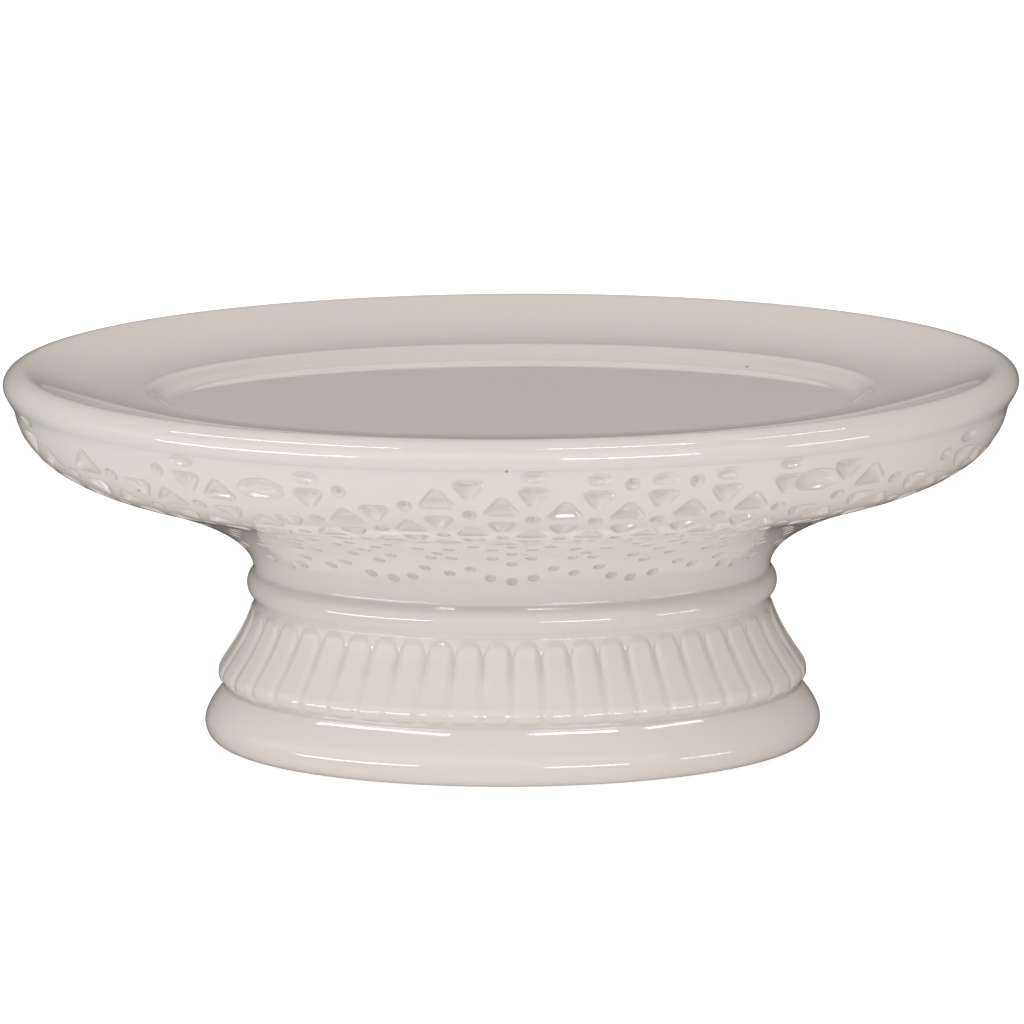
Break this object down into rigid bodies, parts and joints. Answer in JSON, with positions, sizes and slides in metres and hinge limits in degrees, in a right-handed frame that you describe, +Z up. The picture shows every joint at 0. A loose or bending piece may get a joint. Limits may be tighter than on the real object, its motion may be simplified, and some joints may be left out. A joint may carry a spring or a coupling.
{
  "type": "oval pedestal cake stand",
  "caption": "Oval pedestal cake stand in white glazed ceramic, with a dished plate and rolled lip, an eyelet lace bowl below it and a hollow fluted foot.",
  "frame": {"origin": "centre of the flat ring that the stand rests on, at table height", "axes": "+Z up, +X along the plate's long axis, +Y along its short axis towards the back"},
  "size_m": [0.356, 0.2278, 0.1355],
  "materials": {
    "white_glaze": "gloss",
    "fired_slip": "gloss"
  },
  "bodies": {
    "root": {"plate": "white_glaze", "lace_bowl": "white_glaze", "fluted_foot": "white_glaze", "rim_seam": "fired_slip", "neck_seam": "fired_slip"}
  },
  "joints": []
}
